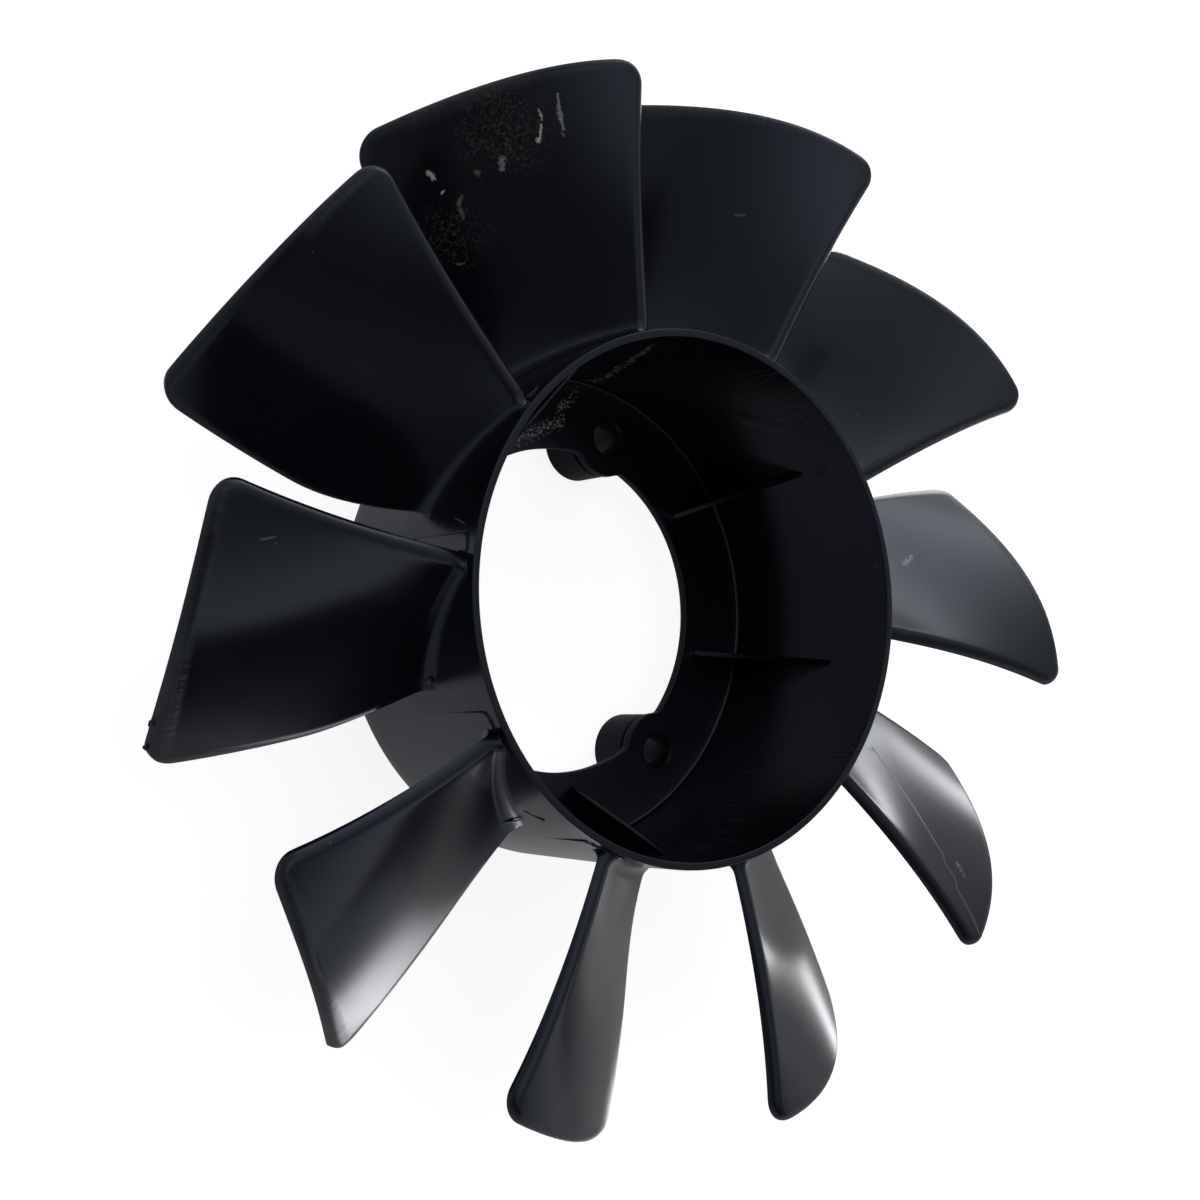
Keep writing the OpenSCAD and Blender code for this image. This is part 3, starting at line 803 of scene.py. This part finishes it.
class Plastic:
    """One finish of the wheel: the black plastic, the marks laid over it, and the shader."""

    def __init__(self, name):
        self.material = bpy.data.materials.new(name)
        self.material.use_nodes = True
        self.tree = pt = self.material.node_tree
        pt.nodes.clear()
        self.where = add_node(pt, "ShaderNodeTexCoord").outputs["Object"]
        self.grain = use_group(pt, grain_group, Position=self.where)
        self.maker = use_group(pt, maker_group, Position=self.where)
        self.marks = []

    def wavered(self, amount, scale):
        """The place, pushed about by noise, so that a straight mark wavers."""
        push = add_node(self.tree, "ShaderNodeTexNoise", {"Vector": self.where, "Scale": scale}).outputs["Color"]
        push = vector_maths(self.tree, "SUBTRACT", push, (0.5, 0.5, 0.5))
        return vector_maths(self.tree, "ADD", self.where, vector_maths(self.tree, "SCALE", push, amount * MM))

    def near(self, place, lines):
        """The union of marks given as (start, end, radius) or (centre, radius), in millimetres."""
        found = []
        for line in lines:
            start, end, radius = line if len(line) == 3 else (line[0], line[0], line[1])
            found.append(use_group(self.tree, mark_group, Position=place, From=[v * MM for v in start],
                                   To=[v * MM for v in end], Radius=radius * MM)["Mask"])
        return strongest(self.tree, found)

    def ragged(self, mask, scale, raggedness, softness, thinned=0.0):
        """A soft mark given a ragged rim by noise; a thinned one breaks up into specks."""
        push = maths(self.tree, "SUBTRACT", noise(self.tree, self.where, scale, 2.0, 0.65), 0.5 + thinned)
        pushed = maths(self.tree, "MULTIPLY_ADD", push, raggedness, mask)
        there = maths(self.tree, "MULTIPLY", mask, 8.0, clamp=True)
        return maths(self.tree, "MULTIPLY", maths(self.tree, "DIVIDE", pushed, softness, clamp=True), there)

    def mark(self, mask, colour, strength, roughness=0.0, rise=0.0):
        """A mark's colour and how much of it shows, what it adds to the roughness, and how far it rises."""
        self.marks.append((mask, colour, strength, roughness, rise))

    def finish(self, colours=BLACK, on_drum=False):
        """Lays the marks over the clouded black, the first one on top, and wires the shader."""
        pt, grain, maker = self.tree, self.grain, self.maker
        self.mark(grain["Dust"], (0.30, 0.30, 0.30), 0.45, 0.2)
        if on_drum:
            self.mark(maker["Drag lines"], (0.10, 0.10, 0.10), 0.13, 0.14, 1.0)
        else:
            self.mark(maker["Tip strokes"], (0.07, 0.075, 0.085), 0.45, 0.22, 4.5)
        clouded = maths(pt, "MULTIPLY_ADD", grain["Cloud"], 2.6, -0.85, clamp=True)
        colour = layered(pt, clouded, *colours)
        gloss = maths(pt, "MULTIPLY_ADD", grain["Cloud"], CLOUD_ROUGHNESS, ROUGHNESS)
        surface = maths(pt, "MULTIPLY", grain["Height"], GRAIN_RISE)
        for mask, over, strength, roughness, rise in self.marks[::-1]:
            colour = layered(pt, maths(pt, "MULTIPLY", mask, strength), colour, over)
            if roughness:
                gloss = maths(pt, "MULTIPLY_ADD", mask, roughness, gloss)
            if rise:
                surface = maths(pt, "MULTIPLY_ADD", mask, rise, surface)
        bump = add_node(pt, "ShaderNodeBump", {
            "Strength": BUMP_STRENGTH, "Distance": BUMP_DISTANCE, "Height": surface})
        shader = add_node(pt, "ShaderNodeBsdfPrincipled", {
            "Base Color": colour, "Roughness": gloss, "Normal": bump.outputs[0], "IOR": 1.5,
            "Specular IOR Level": 0.6, "Specular Tint": COOL_GLOSS})
        plug(pt, add_node(pt, "ShaderNodeOutputMaterial").inputs[0], shader.outputs[0])
        wheel.data.materials.append(self.material)
        print(self.material.name, "has", len(pt.nodes), "nodes and", len(self.marks), "kinds of mark")


# %% [markdown]
# Five of the blades have nothing on them but the grain, some dust and the trimmed tip, so
# they take the plastic as it is.

# %% Plain blades
plain = Plastic("satin_black_plain")
plain.finish()

# %% [markdown]
# The top blade carries dried flecks of a cream colour, a pale scrape and brown dust. A
# painted picture would do it, but places in space need no unwrapped surface: each mark is
# listed with its place on the wheel in millimetres.

# %% Top blade
top = Plastic("satin_black_top_blade")
shaken = top.wavered(0.9, 700.0)
cream = top.near(shaken, [
    ((-70.8, 124.7, 60.0), (-69.6, 123.4, 60.5), 1.15), ((-47.8, 140.5, 83.4), (-46.9, 139.0, 83.4), 0.58),
    ((-46.9, 139.0, 83.4), (-46.6, 137.7, 83.2), 0.40), ((-46.7, 136.5, 82.7), (-46.4, 132.7, 81.5), 0.60),
    ((-47.0, 132.4, 81.2), (-46.6, 132.6, 81.4), 1.00), ((-67.2, 119.0, 60.5), (-66.6, 119.7, 61.4), 0.48)])
pale = top.near(shaken, [
    ((-54.8, 127.6, 74.2), (-54.5, 126.2, 73.8), 1.30), ((-54.5, 126.2, 73.8), (-54.3, 124.9, 73.3), 0.90),
    ((-43.6, 144.9, 87.0), (-42.9, 142.0, 86.5), 0.50), ((-42.9, 141.6, 86.4), (-42.1, 138.6, 86.0), 0.95),
    ((-42.1, 138.6, 86.0), (-40.8, 135.4, 85.6), 0.70)])
dim = top.near(shaken, [
    ((-62.4, 118.0, 63.9), (-62.8, 115.6, 62.7), 0.75), ((-62.3, 114.6, 62.8), (-61.0, 112.4, 62.5), 0.85),
    ((-60.2, 124.2, 68.7), (-59.6, 124.0, 68.9), 1.00), ((-60.6, 99.8, 57.4), (-58.7, 99.8, 58.6), 0.50),
    ((-41.0, 134.3, 85.2), (-40.6, 133.7, 85.1), 0.60)])
cloud = top.near(top.where, [((-55.8, 135.5, 76.6), 18.0), ((-62.3, 108.5, 59.8), 13.0)])
speckle = peaks(top.tree, noise(top.tree, top.where, 1000.0, 2.5, 0.8), 0.50, 7.0)
brown_dust = maths(top.tree, "MULTIPLY", top.ragged(cloud, 110.0, 1.2, 0.9), speckle)
top.mark(top.ragged(cream, 1500.0, 2.2, 0.8, 0.03), (0.80, 0.74, 0.60), 0.95, 0.35)
top.mark(top.ragged(pale, 1500.0, 2.6, 0.8), (0.36, 0.36, 0.38), 0.85, 0.3)
top.mark(top.ragged(dim, 1500.0, 1.8, 1.0), (0.26, 0.23, 0.18), 0.8, 0.3)
top.mark(brown_dust, (0.105, 0.088, 0.062), 0.8, 0.3)
top.finish()

# %% [markdown]
# Three blades have a few small marks of their own: a short scratch on two of them and a
# scuff near the drum on the third. The marks lie far apart, so one material can hold them all.

# %% Nicked blades
nicked = Plastic("satin_black_nicked_blades")
scratch = nicked.near(nicked.wavered(0.6, 500.0), [
    ((-143.0, 14.4, 91.9), (-137.6, 15.6, 91.3), 0.40), ((31.9, 121.5, 76.2), (34.2, 121.5, 78.0), 0.40)])
scuff = nicked.near(nicked.wavered(3.0, 420.0), [
    ((109.5, 12.8, 68.3), (114.0, 15.6, 67.3), 1.1), ((113.0, 11.0, 68.8), (110.0, 17.0, 67.0), 0.9)])
nicked.mark(maths(nicked.tree, "MULTIPLY", scratch, 2.5, clamp=True), (0.16, 0.16, 0.16), 0.7, 0.2)
nicked.mark(nicked.ragged(scuff, 1100.0, 3.0, 0.9), (0.62, 0.55, 0.52), 0.85, 0.2)
nicked.finish()

# %% [markdown]
# A hair crack wanders along one blade, from near the drum to near the tip. It is followed
# through a chain of short marks, each of which starts where the last one ends, so that it
# never breaks.

# %% Cracked blade
cracked = Plastic("satin_black_cracked_blade")
crack_path = [(94.2, -48.8, 65.5), (95.0, -52.9, 68.4), (96.7, -57.1, 70.8), (96.6, -61.0, 73.8),
              (98.5, -69.8, 79.8), (100.5, -79.5, 85.3), (102.5, -83.8, 87.3), (101.7, -87.4, 89.2),
              (104.4, -91.5, 90.5), (103.6, -95.3, 92.1), (107.2, -102.5, 93.7), (109.9, -109.7, 94.8)]
crack_steps = [(start, end, 0.55) for start, end in zip(crack_path, crack_path[1:])]
crack = cracked.near(cracked.wavered(0.5, 400.0), crack_steps)
scuff = cracked.near(cracked.wavered(4.0, 420.0), [
    ((91.0, -49.5, 67.2), (95.0, -49.0, 65.2), 1.1), ((108.8, -87.0, 87.2), (110.0, -92.0, 89.0), 1.0)])
cracked.mark(maths(cracked.tree, "MULTIPLY", crack, 2.2, clamp=True), (0.13, 0.14, 0.15), 0.75, 0.15, 0.8)
cracked.mark(cracked.ragged(scuff, 700.0, 3.0, 1.2), (0.55, 0.56, 0.58), 0.5, 0.12)
cracked.finish()

# %% [markdown]
# Inside the drum a band is rubbed pale where something was pushed past the edge. The wall
# has a round stain, a grubby patch and a faint sink where a blade is joined outside, and the
# flange shows the rings that ejector pins leave.

# %% Drum and flange
drum_finish = Plastic("satin_black_drum")
dt = drum_finish.tree
rubbed = drum_finish.near(drum_finish.wavered(3.0, 420.0), [
    ((-16.0, 54.5, 19.2), (2.6, 62.0, 19.0), 3.2), ((2.6, 66.0, 19.0), (13.0, 75.0, 22.0), 2.6),
    ((14.6, 75.8, 22.0), (13.2, 76.2, 33.0), 2.4), ((13.2, 76.2, 33.0), (0.6, 77.6, 68.0), 1.9),
    ((0.6, 77.6, 68.0), (-3.7, 77.5, 76.0), 1.0)])
ticks = drum_finish.near(drum_finish.wavered(1.0, 300.0), [
    ((-77.2, 20.8, 84.0), (-76.9, 22.8, 78.0), 0.4), ((-76.4, -24.4, 80.5), (-76.0, -26.0, 73.5), 0.4),
    ((-75.3, -27.8, 76.5), (-75.1, -28.4, 73.5), 0.4)])
stain = drum_finish.near(drum_finish.where, [((65.0, 42.4, 75.5), 3.4)])
grubby = drum_finish.near(drum_finish.where, [((60.0, 49.0, 82.0), 17.0)])
sink = drum_finish.near(drum_finish.where, [((48.5, 61.0, 58.0), (58.0, 51.6, 80.0), 3.6)])


def ring_mark(centre, radius, width=0.35):
    """A thin ring on the surface; centre, radius and width are in millimetres."""
    gap = vector_maths(dt, "DISTANCE", drum_finish.where, [v * MM for v in centre])
    off = maths(dt, "ABSOLUTE", maths(dt, "SUBTRACT", gap, radius * MM))
    return maths(dt, "SUBTRACT", 1.0, maths(dt, "DIVIDE", off, width * MM), clamp=True)


rings = strongest(dt, [ring_mark((58.2, -37.7, FLANGE_TOP), 4.0), ring_mark((25.1, -63.8, FLANGE_TOP), 4.0),
                       ring_mark((67.9, 4.6, FLANGE_TOP), 3.4), ring_mark((65.0, 42.4, 75.5), 3.2)])
parting_groove_and_shade = use_group(dt, parting_group, Position=drum_finish.where)["Mask"]
# The parting line's groove is a real dip in the bump, and its near-black colour is painted shade in that groove.
drum_finish.mark(parting_groove_and_shade, (0.002, 0.002, 0.003), 0.8, 0.25, -2.2)
drum_finish.mark(drum_finish.ragged(rubbed, 1100.0, 5.5, 1.0, 0.12), (0.75, 0.75, 0.78), 0.9, 0.3)
drum_finish.mark(ticks, (0.20, 0.21, 0.22), 0.6, 0.2)
drum_finish.mark(drum_finish.ragged(stain, 300.0, 0.5, 0.4), (0.018, 0.022, 0.022), 0.5, 0.15)
drum_finish.mark(drum_finish.ragged(grubby, 520.0, 3.0, 1.2), (0.020, 0.022, 0.022), 0.5, 0.15)
drum_finish.mark(rings, (0.012, 0.013, 0.015), 0.3, 0.0, -0.5)
drum_finish.mark(sink, (0.004, 0.004, 0.006), 0.3, 0.0, -1.6)
drum_finish.finish(on_drum=True)

# %% [markdown]
# Where the plastic was torn or squeezed it has turned paler and duller, so the beads have a
# lighter version of the same finish.

# %% Raised plastic
Plastic("torn_black_plastic").finish(TORN_BLACK)

# %% [markdown]
# The wheel stands on its three bosses on a plain white sheet. A glow that only the camera sees makes the sheet pure
# white, and its matt part keeps the soft shadow that the lamps throw. The gloss sees a weaker glow with painted light
# and shade in it: a painted pool of light, brightest beside the drum and fading past the blade tips, and a painted
# shadow under the wheel, where the wheel keeps the light away. The gloss sees a weaker glow, brightest beside the drum
# and dark under the wheel,
# which keeps the light away from there.

# %% Floor
floor_mesh = bpy.data.meshes.new("studio_floor")
FLOOR = 3.0
floor_corners = [(-FLOOR, -FLOOR, 0), (FLOOR, -FLOOR, 0), (FLOOR, FLOOR, 0), (-FLOOR, FLOOR, 0)]
floor_mesh.from_pydata(floor_corners, [], [(0, 1, 2, 3)])
floor = bpy.data.objects.new("studio_floor", floor_mesh)
bpy.context.scene.collection.objects.link(floor)
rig.stage(floor)
print("sheet is", 2 * FLOOR, "m wide")

# %% White sheet
GLOW_FOR_CAMERA, GLOW_IN_GLOSS, GLOW_FAR_SHARE = 0.85, 0.28, 0.1
PAINTED_SHADOW_SPAN, PAINTED_POOL_SPAN = (0.045, 0.090), (0.12, 0.19)
paper = bpy.data.materials.new("white_sheet")
paper.use_nodes = True
t = paper.node_tree
t.nodes.clear()
path = add_node(t, "ShaderNodeLightPath").outputs
from_wheel = vector_maths(t, "LENGTH", add_node(t, "ShaderNodeTexCoord").outputs["Object"])
# The glow in the gloss is painted: a painted shadow under the wheel and a painted pool of light round it.
painted_shadow_edge = smooth_step(t, from_wheel, *PAINTED_SHADOW_SPAN, high=GLOW_IN_GLOSS)
painted_light_pool = smooth_step(t, from_wheel, *PAINTED_POOL_SPAN, low=1.0, high=GLOW_FAR_SHARE)
glow_in_gloss = maths(t, "MULTIPLY", painted_shadow_edge, painted_light_pool)
straight = strongest(t, [path["Is Camera Ray"], path["Is Transmission Ray"]])
seen = maths(t, "MULTIPLY", straight, GLOW_FOR_CAMERA)
seen = maths(t, "MULTIPLY_ADD", path["Is Glossy Ray"], glow_in_gloss, seen)
matt = add_node(t, "ShaderNodeBsdfDiffuse", {"Color": (0.85, 0.85, 0.86, 1)})
glow = add_node(t, "ShaderNodeEmission", {"Color": (1, 1, 1, 1), "Strength": seen})
both = add_node(t, "ShaderNodeAddShader", {0: matt.outputs[0], 1: glow.outputs[0]})
plug(t, add_node(t, "ShaderNodeOutputMaterial").inputs[0], both.outputs[0])
floor.data.materials.append(paper)
print(paper.name, "has", len(t.nodes), "nodes")

# %% [markdown]
# The studio is lit from behind the wheel. The far side is bright and the side of the camera
# is dark, so the black plastic shows by soft gloss. Large softboxes are drawn in the world
# as round patches that fade out, which leaves no hard edge in the gloss.

# %% World with soft patches of light
world = bpy.data.worlds.new("studio")
bpy.context.scene.world = world
world.use_nodes = True
t = world.node_tree
t.nodes.clear()
way = add_node(t, "ShaderNodeTexCoord").outputs["Generated"]


def soft_patch(azimuth, elevation, strength, sharpness=9.0):
    """A round patch of light in one direction, given in degrees; a sharper one is smaller."""
    a, e = math.radians(azimuth), math.radians(elevation)
    centre = (math.cos(a) * math.cos(e), math.sin(a) * math.cos(e), math.sin(e))
    fall = maths(t, "MULTIPLY_ADD", vector_maths(t, "DOT_PRODUCT", way, centre), sharpness, -sharpness)
    return maths(t, "MULTIPLY", maths(t, "EXPONENT", fall), strength)


HIGH_PATCHES = [(60, 62, 0.41), (120, 62, 0.27), (0, 34, 0.11), (320, 34, 0.09)]
LOW_PATCHES = [(0, 8, 0.37), (60, 8, 1.15), (52, -2, 1.1, 30.0), (120, 8, 0.34), (170, 8, 0.30),
               (215, 8, 0.12), (240, 8, 0.30), (300, 8, 0.42), (330, 8, 0.20)]
level = soft_patch(0, 90, 0.20)
for patch in HIGH_PATCHES + LOW_PATCHES:
    level = maths(t, "ADD", level, soft_patch(*patch))
camera_ray = add_node(t, "ShaderNodeLightPath").outputs["Is Camera Ray"]
shown = maths(t, "MULTIPLY_ADD", maths(t, "SUBTRACT", 1.0, level), camera_ray, level)
sky = add_node(t, "ShaderNodeBackground", {"Color": (1, 1, 1, 1), "Strength": shown})
plug(t, add_node(t, "ShaderNodeOutputWorld").inputs[0], sky.outputs[0])
print("world has", 1 + len(HIGH_PATCHES + LOW_PATCHES), "patches of light")

# %% [markdown]
# Four light tables lie on the sheet beside the wheel, on its far side and below it. They
# give the trailing edges of the lower blades their bright fade. The camera doesn't see them.

# %% Light tables
def light_table(name, x, y, width, depth, radiance):
    """A lamp that lies on the sheet and shines up; its power follows from how bright its face is."""
    data = bpy.data.lights.new(name, "AREA")
    data.shape, data.size, data.size_y = "RECTANGLE", width, depth
    data.energy = radiance * math.pi * width * depth
    lamp = bpy.data.objects.new(name, data)
    lamp.location = (x, y, 0.002)
    lamp.rotation_euler = (math.pi, 0, 0)
    lamp.visible_camera = False
    bpy.context.scene.collection.objects.link(lamp)
    print(name, "gives", round(1000 * data.energy), "mW at radiance", radiance)
    return lamp


light_table("table_far_side", 0.25, 0.15, 0.20, 0.16, 3.0)
light_table("table_right", 0.39, 0.05, 0.15, 0.14, 4.5)
light_table("table_lower_right", 0.225, -0.14, 0.06, 0.05, 4.0)
light_table("table_lower_left", 0.005, -0.172, 0.08, 0.06, 3.1)

# %% [markdown]
# The size of the finished wheel is kept beside the size of the frame, so that the two can be
# compared.

json.dump({"cad": CAD_BOX, "visual": [list(corner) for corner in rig.bounds()]}, open("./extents.json", "w"))
print("size", open("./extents.json").read())
